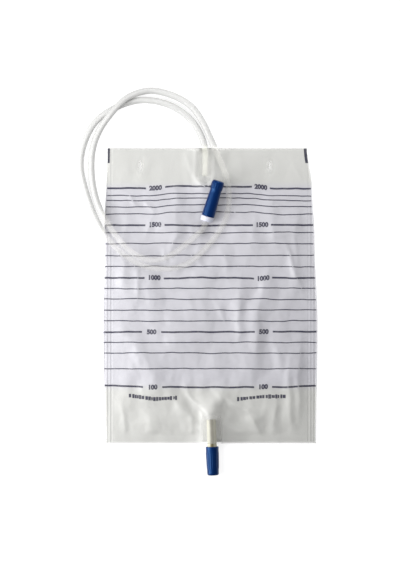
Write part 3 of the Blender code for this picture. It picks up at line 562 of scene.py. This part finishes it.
def buildValve():
    s = valveSettings
    points, faces = [], []
    for k in range(s["rings"]):
        share = k / (s["rings"] - 1)
        drop = s["drop"] + s["length"] * share
        half = (s["top"] + (s["lip"] - s["top"]) * share) / 2
        hump = s["height"] * (1 - float(ramp(s["closeFrom"], s["drop"] + s["length"], drop)))
        offs = np.linspace(-1, 1, s["across"])
        offs = np.sign(offs) * np.abs(offs) ** s["crowding"] * half
        y, foot = filmSettings["topY"] - drop, s["floor"] + s["gap"]
        upper = [(s["x"] + o, y, foot + hump * math.exp(-(abs(o) / s["humpWidth"]) ** s["humpShape"]))
                 for o in offs]
        points += upper + [(x, y, s["floor"]) for x, y, z in reversed(upper)]
    ring = 2 * s["across"]
    for k in range(s["rings"] - 1):
        for i in range(ring):
            j = (i + 1) % ring
            faces.append((k * ring + i, k * ring + j, (k + 1) * ring + j, (k + 1) * ring + i))
    valve = newObject("valveSleeve", meshFrom("valveSleeve", points, faces))
    bm = bmesh.new()
    bm.from_mesh(valve.data)
    bmesh.ops.recalc_face_normals(bm, faces=bm.faces)
    bm.to_mesh(valve.data)
    bm.free()
    solid = valve.modifiers.new("thickness", "SOLIDIFY")
    solid.thickness, solid.offset = s["film"], 1.0
    applyModifiers(valve)
    return valve


valve = buildValve()
print("valve is welded in")


# Print on the front film; places of lines and numbers in millimetres, line 0 is the top one
printSettings = {
    "lines": (40.4, 47.7, 52.3, 58.8, 66.2, 77.0, 84.4, 95.5, 107.4, 118.5,
              129.9, 140.2, 151.0, 161.9, 172.9, 183.7, 194.2, 204.7, 220.4, 237.4),
    "heavy": {0: "2000", 5: "1500", 10: "1000", 15: "500", 19: "100"},
    "heavyWidth": 1.8 * mm, "lightWidth": 1.02 * mm, "margin": 1.0 * mm, "lift": 0.05 * mm, "step": 1.5 * mm,
    "leftNumbers": {0: -54.4, 5: -55.0, 10: -55.8, 15: -58.4, 19: -57.3},
    "rightNumbers": {0: 50.8, 5: 51.8, 10: 53.0, 15: 53.7, 19: 53.0}, "halfGap": 9.6, "halfShortGap": 9.0,
    "digitSize": 6.106 * mm, "digitWeight": 0.40 * mm, "digitSpacing": 1.02,
    # Wobble of a line: height in millimetres, size, shift from line to line, seed
    "wobble": ((0.8, 24 * mm, 3.7, 0.5), (0.5, 9 * mm, 2.1, 7.5)),
    # Humps: first and last line, height in millimetres, X where it starts, is full, starts to end, is gone
    "humps": ((0, 4, 2.2, -58 * mm, -34 * mm, 38 * mm, 66 * mm),   # over the inlet tube and the valve
              (19, 19, -1.6, -92 * mm, -58 * mm, 70 * mm, 96 * mm)),
}


def onFilm(x, y):
    hit = filmTree.ray_cast(Vector((x, y, rayHeight)), Vector((0, 0, -1)))[0]
    height = hit.z if hit is not None else filmSettings["frontRest"]
    return Vector((x, y, height + printSettings["lift"]))


def lineWobble(index, x):
    shift = 0.0
    for height, size, change, seed in printSettings["wobble"]:
        shift += height * noise.noise(Vector((x / size, index * change, seed)))
    for first, last, height, start, full, ease, end in printSettings["humps"]:
        if first <= index <= last:
            shift += height * float(ramp(start, full, x) * (1 - ramp(ease, end, x)))
    return shift * mm


def addStrip(bm, xFrom, xTo, centre, width, step):
    count = max(2, int((xTo - xFrom) / step))
    last = None
    for k in range(count + 1):
        x = xFrom + (xTo - xFrom) * k / count
        y = centre(x)
        row = [bm.verts.new(onFilm(x, y + side * width / 2)) for side in (1, 0, -1)]
        if last:
            bm.faces.new((last[0], last[1], row[1], row[0]))
            bm.faces.new((last[1], last[2], row[2], row[1]))
        last = row


def buildLines():
    s = printSettings
    bm = bmesh.new()
    for index, drop in enumerate(s["lines"]):
        y0 = filmSettings["topY"] - drop * mm
        left, right = edgesAt(drop)
        left, right = left + s["margin"], right - s["margin"]
        spans, width = [(left, right)], s["lightWidth"]
        if index in s["heavy"]:
            a, b = s["leftNumbers"][index], s["rightNumbers"][index]
            spans = [(left, (a - s["halfGap"]) * mm), ((a + s["halfGap"]) * mm, (b - s["halfShortGap"]) * mm),
                     ((b + s["halfShortGap"]) * mm, right)]
            width = s["heavyWidth"]
        for a, b in spans:
            addStrip(bm, a, b, lambda x: y0 + lineWobble(index, x), width, s["step"])
    return fromBmesh("scaleLines", bm)


def buildNumbers():
    s = printSettings
    bm = bmesh.new()
    for index, text in s["heavy"].items():
        y0 = filmSettings["topY"] - s["lines"][index] * mm
        for x0 in (s["leftNumbers"][index], s["rightNumbers"][index]):
            curve = bpy.data.curves.new("number", "FONT")
            curve.body, curve.size = text, s["digitSize"]
            curve.align_x, curve.align_y = "CENTER", "CENTER"
            curve.space_character, curve.offset = s["digitSpacing"], s["digitWeight"]
            label = newObject("number", curve)
            bpy.context.view_layer.update()
            graph = bpy.context.evaluated_depsgraph_get()
            mesh = bpy.data.meshes.new_from_object(label.evaluated_get(graph))
            for v in mesh.vertices:
                x = x0 * mm + v.co.x
                v.co = onFilm(x, y0 + lineWobble(index, x) + v.co.y)
            bm.from_mesh(mesh)
            bpy.data.objects.remove(label, do_unlink=True)
            bpy.data.meshes.remove(mesh)
    return fromBmesh("scaleNumbers", bm)


# Two rows of plain dashes; a row is its ends in X and its Y at the ends and the middle, in millimetres
smallPrintSettings = {
    "rows": ((-81, -33, (-84.0, -87.4, -86.0)), (27, 75, (-87.5, -85.0, -84.8))), "seed": 11,
    "widths": (1.4, 3.2), "heights": (2.8, 4.2), "gaps": (0.35, 0.4, 0.45, 1.2), "step": 0.6 * mm,
}


def buildSmallPrint():
    s = smallPrintSettings
    random.seed(s["seed"])
    bm = bmesh.new()
    for x0, x1, (yStart, yMiddle, yEnd) in s["rows"]:
        x = x0
        while x < x1 - 1:
            width = random.uniform(*s["widths"])
            share = (x - x0) / (x1 - x0)
            y = yStart + (yMiddle - yStart) * min(1, 2 * share) + (yEnd - yMiddle) * max(0, 2 * share - 1)
            tall = random.uniform(*s["heights"])
            addStrip(bm, x * mm, (x + width) * mm, lambda at: y * mm, tall * mm, s["step"])
            x += width + random.choice(s["gaps"])
    return fromBmesh("smallPrint", bm)


# Dark marks at both ends of the header's edges
edgeMarkSettings = {"inset": 0.4 * mm, "length": 14.6 * mm, "leftWidth": 2.0 * mm, "rightWidth": 2.8 * mm,
                    "rows": 12}


def buildEdgeMarks():
    s = edgeMarkSettings
    bm = bmesh.new()
    for side in (-1, 1):
        last = None
        for k in range(s["rows"] + 1):
            drop = s["inset"] + s["length"] * k / s["rows"]
            left, right = edgesAt(drop / mm)
            left, right = left + s["inset"], right - s["inset"]
            xs = (left, left + s["leftWidth"]) if side < 0 else (right - s["rightWidth"], right)
            pair = [bm.verts.new(onFilm(x, filmSettings["topY"] - drop)) for x in xs]
            if last:
                bm.faces.new((last[0], pair[0], pair[1], last[1]))
            last = pair
    return fromBmesh("edgeMarks", bm)


lines, numbers, smallPrint, edgeMarks = buildLines(), buildNumbers(), buildSmallPrint(), buildEdgeMarks()
print("scale is printed")


# Helpers for shader nodes; a source is a socket to link or a value to set

def add(tree, kind, **values):
    node = tree.nodes.new(kind)
    for key, value in values.items():
        setattr(node, key, value)
    return node


def wire(tree, source, target):
    if isinstance(source, bpy.types.NodeSocket):
        tree.links.new(source, target)
    else:
        target.default_value = source


def calc(tree, operation, *sources):
    node = add(tree, "ShaderNodeMath", operation=operation)
    for source, target in zip(sources, node.inputs):
        wire(tree, source, target)
    return node.outputs[0]


def mapped(tree, source, fromRange, toRange=(0.0, 1.0), kind="SMOOTHSTEP"):
    node = add(tree, "ShaderNodeMapRange", interpolation_type=kind)
    node.inputs["From Min"].default_value, node.inputs["From Max"].default_value = fromRange
    node.inputs["To Min"].default_value, node.inputs["To Max"].default_value = toRange
    tree.links.new(source, node.inputs["Value"])
    return node.outputs["Result"]


def mixed(tree, kind, factor, first, second):
    node = add(tree, "ShaderNodeMix", data_type=kind)
    for label, source in (("Factor", factor), ("A", first), ("B", second)):
        wire(tree, source, node.inputs[label])
    return node.outputs["Result"]


# X, Y and Z over the piece
def placeOf(tree):
    split = add(tree, "ShaderNodeSeparateXYZ")
    tree.links.new(add(tree, "ShaderNodeTexCoord").outputs["Object"], split.inputs[0])
    return split.outputs


def nodeGroup(name, inputs, outputs):
    group = bpy.data.node_groups.new(name, "ShaderNodeTree")
    for label, value in inputs:
        socket = group.interface.new_socket(name=label, in_out="INPUT", socket_type="NodeSocketFloat")
        socket.default_value = value
    for label in outputs:
        group.interface.new_socket(name=label, in_out="OUTPUT", socket_type="NodeSocketFloat")
    return group, group.nodes.new("NodeGroupInput").outputs, group.nodes.new("NodeGroupOutput").inputs


def useGroup(tree, group, values):
    node = add(tree, "ShaderNodeGroup")
    node.node_tree = group
    for label, value in values.items():
        node.inputs[label].default_value = value
    return node.outputs


# Shader groups that several materials use

crinkleSettings = {"broad": (3.0, 0.6), "fine": (2.0, 0.0), "fineShare": 0.12}   # detail, distortion


def noiseOf(group, place, scale, look):
    node = add(group, "ShaderNodeTexNoise")
    node.inputs["Detail"].default_value, node.inputs["Distortion"].default_value = look
    group.links.new(place, node.inputs["Vector"])
    group.links.new(scale, node.inputs["Scale"])
    return node.outputs["Fac"]


# Small dents of film and mouldings, with a cloudy mask for gloss and wear
def crinkleGroup():
    s = crinkleSettings
    inputs = (("Scale", 60.0), ("Fine Scale", 400.0))
    group, start, end = nodeGroup("filmCrinkle", inputs, ("Height", "Cloud"))
    place = add(group, "ShaderNodeTexCoord").outputs["Object"]
    broad = noiseOf(group, place, start["Scale"], s["broad"])
    fine = noiseOf(group, place, start["Fine Scale"], s["fine"])
    group.links.new(calc(group, "MULTIPLY_ADD", fine, s["fineShare"], broad), end["Height"])
    group.links.new(broad, end["Cloud"])
    return group


# Pressed ribs of the side welds
def weldGroup():
    group, start, end = nodeGroup("weldRibs", (("From", 0.097), ("Pitch", 0.0032)), ("Height",))
    aside = calc(group, "ABSOLUTE", placeOf(group)["X"])
    turns = calc(group, "DIVIDE", aside, start["Pitch"])
    wave = calc(group, "SINE", calc(group, "MULTIPLY", turns, 2 * math.pi))
    inside = calc(group, "GREATER_THAN", aside, start["From"])
    group.links.new(calc(group, "MULTIPLY", wave, inside), end["Height"])
    return group


# Oval round each hanging slot, 1 in its middle
def slotGroup():
    inputs = (("Middle", 0.0), ("Half Spacing", 0.0), ("Height", 0.0),
              ("Half Width", 0.005), ("Half Length", 0.009))
    group, start, end = nodeGroup("slotLips", inputs, ("Mask",))
    place = placeOf(group)
    aside = calc(group, "ABSOLUTE", calc(group, "SUBTRACT", place["X"], start["Middle"]))
    across = calc(group, "DIVIDE", calc(group, "SUBTRACT", aside, start["Half Spacing"]), start["Half Width"])
    along = calc(group, "DIVIDE", calc(group, "SUBTRACT", place["Y"], start["Height"]), start["Half Length"])
    squares = [calc(group, "MULTIPLY", value, value) for value in (across, along)]
    group.links.new(mapped(group, calc(group, "ADD", *squares), (1.0, 0.0)), end["Mask"])
    return group


crinkle, weldRibs, slotLips = crinkleGroup(), weldGroup(), slotGroup()


def baseMaterial(name, colour, roughness, alpha=1.0, specular=None):
    made = bpy.data.materials.new(name)
    made.use_nodes = True
    shader = made.node_tree.nodes["Principled BSDF"]
    shader.inputs["Base Color"].default_value = (*colour, 1.0)
    shader.inputs["Roughness"].default_value = roughness
    shader.inputs["Alpha"].default_value = alpha
    shader.inputs["IOR"].default_value = 1.5
    if specular is not None:
        shader.inputs["Specular IOR Level"].default_value = specular
    made.diffuse_color = (*colour, alpha)
    return made, made.node_tree, shader.inputs


def addCrinkle(tree, shader, look, roughness, ribs=None):
    effect = useGroup(tree, crinkle, {"Scale": look["scale"], "Fine Scale": look["fine"]})
    height = effect["Height"]
    if ribs:
        pressed = useGroup(tree, weldRibs, {"From": ribs["from"], "Pitch": ribs["pitch"]})["Height"]
        height = calc(tree, "MULTIPLY_ADD", pressed, ribs["height"], height)
    bump = add(tree, "ShaderNodeBump")
    bump.inputs["Strength"].default_value = look["strength"]
    bump.inputs["Distance"].default_value = look["distance"]
    tree.links.new(height, bump.inputs["Height"])
    tree.links.new(bump.outputs["Normal"], shader["Normal"])
    tree.links.new(mapped(tree, effect["Cloud"], (0.0, 1.0), roughness, "LINEAR"), shader["Roughness"])


# Clear film, with a violet cast where the scale is printed
filmLook = {
    "neutral": (0.66, 0.66, 0.64), "printed": (0.64, 0.635, 0.672),
    "printFrom": -76 * mm, "printTo": 126 * mm, "soft": 5 * mm,
    "frontAlpha": 0.46, "backAlpha": 0.85, "valveAlpha": 0.05,
    "specular": 0.4, "coat": 0.25, "coatRoughness": 0.2, "roughness": (0.26, 0.42),
    "crinkle": {"scale": 70.0, "fine": 420.0, "strength": 0.35, "distance": 1.2 * mm},
    "ribs": {"from": 0.097, "pitch": 0.0032, "height": 0.22},
}
# The film is thinner to see over the drain tube and round the hanging slots
patchLook = {"x": 1.5 * mm, "half": 8 * mm, "soft": 4 * mm, "yFull": -112 * mm, "yNone": -96 * mm,
             "share": 0.40}
lipLook = {"halfWidth": 5.5 * mm, "halfLength": 10.5 * mm, "share": 0.30}


def clearPatch(tree, place, alpha):
    s = patchLook
    aside = calc(tree, "ABSOLUTE", calc(tree, "SUBTRACT", place["X"], s["x"]))
    beside = mapped(tree, aside, (s["half"] + s["soft"], s["half"]))
    below = mapped(tree, place["Y"], (s["yNone"], s["yFull"]))
    patch = calc(tree, "MULTIPLY", beside, below)
    return mapped(tree, patch, (0.0, 1.0), (alpha, alpha * s["share"]), "LINEAR")


def clearLips(tree, alpha):
    left, right = filmSettings["slotX"]
    lips = useGroup(tree, slotLips, {
        "Middle": (left + right) / 2, "Half Spacing": (right - left) / 2,
        "Height": filmSettings["topY"] - filmSettings["slotDrop"],
        "Half Width": lipLook["halfWidth"], "Half Length": lipLook["halfLength"]})
    keep = mapped(tree, lips["Mask"], (0.0, 1.0), (1.0, 1 - lipLook["share"]), "LINEAR")
    return calc(tree, "MULTIPLY", alpha, keep)


def filmMaterial(name, alpha, ofBag=True, patched=False):
    s = filmLook
    made, tree, shader = baseMaterial(name, s["neutral"], s["roughness"][0], alpha, s["specular"])
    shader["Coat Weight"].default_value = s["coat"]
    shader["Coat Roughness"].default_value = s["coatRoughness"]
    addCrinkle(tree, shader, s["crinkle"], s["roughness"], s["ribs"])
    if ofBag:
        place = placeOf(tree)
        opacity = clearPatch(tree, place, alpha) if patched else alpha
        tree.links.new(clearLips(tree, opacity), shader["Alpha"])
        under = mapped(tree, place["Y"], (s["printTo"] + s["soft"], s["printTo"] - s["soft"]))
        over = mapped(tree, place["Y"], (s["printFrom"] - s["soft"], s["printFrom"] + s["soft"]))
        zone = calc(tree, "MULTIPLY", under, over)
        tint = mixed(tree, "RGBA", zone, (*s["neutral"], 1), (*s["printed"], 1))
        tree.links.new(tint, shader["Base Color"])
    return made


frontMaterial = filmMaterial("clearFilmFront", filmLook["frontAlpha"], patched=True)
backMaterial = filmMaterial("clearFilmBack", filmLook["backAlpha"])
valveMaterial = filmMaterial("clearFilmValve", filmLook["valveAlpha"], ofBag=False)

# Soft clear tube: colour and alpha go from centre to edge, off the bag and on it, where it is fainter; the
# darker edge colour is painted shade at the rim, and the paler colour over the bag is a painted highlight
tubeLook = {"roughness": 0.30, "specular": 0.25, "blend": 0.42, "bagX": (-109 * mm, -104 * mm),
            "bagY": (167 * mm, 161 * mm)}
# Off the bag: the dark edge colour is painted shade where the tube's wall turns away
freeRimShadeLook = {"centre": (0.72, 0.72, 0.71), "edge": (0.33, 0.33, 0.32), "alpha": (0.55, 0.82), "rim": 1.0}
# Over the bag: the pale centre is a painted highlight, the edge a milder painted rim shade
onBagHighlightLook = {"centre": (0.84, 0.83, 0.78), "edge": (0.66, 0.66, 0.64), "alpha": (0.065, 0.12), "rim": 1.0}
# Inner end of the inlet tube inside the bag: its yellowish white centre is a painted highlight
inletHighlightLook = {"centre": (0.98, 0.98, 0.88), "edge": (0.80, 0.80, 0.76), "alpha": (0.125, 0.11), "rim": 1.0}
# Drain tube under the film: its dark centre is painted shade of the bore, its beige edge is the tube's tone
drainBoreShadeLook = {"centre": (0.14, 0.12, 0.055), "edge": (0.56, 0.54, 0.41), "alpha": (0.80, 0.85), "rim": 0.12}


# Mixes painted rim shade by facing, from centre to edge, and the painted highlight over the bag
def tubeMaterial(name, free, onBag):
    s = tubeLook
    made, tree, shader = baseMaterial(name, free["centre"], s["roughness"], free["alpha"][0], s["specular"])
    weight = add(tree, "ShaderNodeLayerWeight")
    weight.inputs["Blend"].default_value = s["blend"]
    facing, place = weight.outputs["Facing"], placeOf(tree)
    inside = calc(tree, "MULTIPLY", mapped(tree, place["X"], s["bagX"]), mapped(tree, place["Y"], s["bagY"]))
    colours, alphas = [], []
    for look in (free, onBag):
        rim = mapped(tree, facing, (0.0, look["rim"]), kind="LINEAR")
        colours.append(mixed(tree, "RGBA", rim, (*look["centre"], 1), (*look["edge"], 1)))
        alphas.append(mapped(tree, facing, (0.0, 1.0), look["alpha"], "LINEAR"))
    tree.links.new(mixed(tree, "RGBA", inside, *colours), shader["Base Color"])
    tree.links.new(mixed(tree, "FLOAT", inside, *alphas), shader["Alpha"])
    return made


# clearTube carries the painted rim shade and the painted highlight over the bag
tubeShadeAndHighlight = tubeMaterial("clearTube", freeRimShadeLook, onBagHighlightLook)
inletEndHighlight = tubeMaterial("clearTubeInletHighlight", freeRimShadeLook, inletHighlightLook)
drainBoreShade = tubeMaterial("drainTubeBoreShade", drainBoreShadeLook, drainBoreShadeLook)

# Smooth mouldings
mouldedLook = {"crinkle": {"scale": 120.0, "fine": 1500.0, "strength": 0.08, "distance": 0.2 * mm},
               "smoother": 0.05, "rougher": 0.08}
blueLook = {"colour": (0.0012, 0.0125, 0.072), "roughness": 0.31, "specular": 0.52, "tint": (0.16, 0.46, 1.0)}
whiteLook = {"colour": (0.52, 0.53, 0.61), "roughness": 0.38, "specular": 0.4, "tint": (1.0, 1.0, 1.0)}


def mouldedMaterial(name, look):
    rough = look["roughness"]
    made, tree, shader = baseMaterial(name, look["colour"], rough, specular=look["specular"])
    shader["Specular Tint"].default_value = (*look["tint"], 1.0)
    roughness = (rough - mouldedLook["smoother"], rough + mouldedLook["rougher"])
    addCrinkle(tree, shader, mouldedLook["crinkle"], roughness)
    return made


blue = mouldedMaterial("blueMoulding", blueLook)
white = mouldedMaterial("whiteMoulding", whiteLook)

# Ink of the print, slightly worn in patches
inkLook = {"roughness": 0.45, "wearScale": 160.0, "wear": (0.35, 0.62), "worn": 0.25,
           "scale": ((0.034, 0.033, 0.058), 0.92), "marks": ((0.03, 0.03, 0.05), 0.97)}


def inkMaterial(name, colour, alpha):
    made, tree, shader = baseMaterial(name, colour, inkLook["roughness"], alpha)
    cloud = useGroup(tree, crinkle, {"Scale": inkLook["wearScale"]})["Cloud"]
    opacity = mapped(tree, cloud, inkLook["wear"], (alpha - inkLook["worn"], alpha), "LINEAR")
    tree.links.new(opacity, shader["Alpha"])
    return made


ink = inkMaterial("scaleInk", *inkLook["scale"])
markInk = inkMaterial("markInk", *inkLook["marks"])
print("materials are mixed")

for piece, *materials in ((frontFilm, frontMaterial), (backFilm, backMaterial), (valve, valveMaterial),
                          (tube, tubeShadeAndHighlight, inletEndHighlight), (drainTube, drainBoreShade), (drainStem, white),
                          (connector, white), (cap, blue), (drainSleeve, blue), (lines, ink),
                          (numbers, ink), (smallPrint, ink), (edgeMarks, markInk)):
    for material in materials:
        piece.data.materials.append(material)
# The inner end of the tube takes the painted highlight of the inlet
inletFaces = 2 * tubeSettings["sides"] * tubeSettings["inletSteps"]
finishes = [int(i < inletFaces) for i in range(len(tube.data.polygons))]
tube.data.polygons.foreach_set("material_index", finishes)


# What moves with which body, and which CAD node each piece takes the place of
for piece in (frontFilm, backFilm, valve, tube, drainTube, drainStem, connector,
              lines, numbers, smallPrint, edgeMarks):
    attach(piece, "bag")
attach(cap, "cap")
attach(drainSleeve, "valve_sleeve")
for piece, node, slot in ((frontFilm, "front_film", "clear_film"),
                          (backFilm, "back_film", "clear_film"),
                          (valve, "non_return_valve", "clear_film"),
                          (tube, "inlet_tube", "clear_tube"),
                          (drainTube, "drain_tube", "clear_tube"),
                          (drainStem, "drain_valve_stem", "white_moulding"),
                          (connector, "catheter_connector", "white_moulding"),
                          (cap, "connector_cap", "blue_moulding"),
                          (drainSleeve, "drain_valve_sleeve", "blue_moulding")):
    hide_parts(node)


# Floor, room light and lamps; a lamp is its name, place, size and power
stageSettings = {"floor": 6.0, "floorColour": (0.35, 0.35, 0.35), "floorRoughness": 0.9, "floorGlow": 0.80,
                 "floorDrop": 0.05 * mm, "world": 0.22, "aim": (0, 0.02, 0), "clearLayers": 24}
lightSettings = (
    ("keyLight", (-0.53, -0.07, 0.36), (0.44, 0.70), 5.4),
    ("topStrip", (0.20, 0.58, 0.40), (0.6, 0.14), 4.2),
    ("sideStrip", (-0.44, -0.05, 0.15), (0.6, 0.05), 1.6),
)


def addStage():
    s = stageSettings
    size = s["floor"] / 2
    corners = [(-size, -size, 0), (size, -size, 0), (size, size, 0), (-size, size, 0)]
    floor = newObject("floor", meshFrom("floor", corners, [(0, 1, 2, 3)], False))
    floor.location.z = -s["floorDrop"]
    made, tree, shader = baseMaterial("paleFloor", s["floorColour"], s["floorRoughness"])
    shader["Emission Color"].default_value = (1, 1, 1, 1)
    shader["Emission Strength"].default_value = s["floorGlow"]
    floor.data.materials.append(made)
    world = bpy.data.worlds.new("softRoom")
    bpy.context.scene.world = world
    world.use_nodes = True
    world.node_tree.nodes["Background"].inputs["Color"].default_value = (1, 1, 1, 1)
    world.node_tree.nodes["Background"].inputs["Strength"].default_value = s["world"]
    for name, place, (width, depth), power in lightSettings:
        data = bpy.data.lights.new(name, "AREA")
        data.shape, data.size, data.size_y, data.energy = "RECTANGLE", width, depth, power
        lamp = newObject(name, data)
        lamp.location = place
        lamp.rotation_euler = (Vector(s["aim"]) - Vector(place)).to_track_quat("-Z", "Y").to_euler()
    bpy.context.scene.view_settings.view_transform = "Standard"
    bpy.context.scene.cycles.transparent_max_bounces = s["clearLayers"]


addStage()
print("stage is lit")
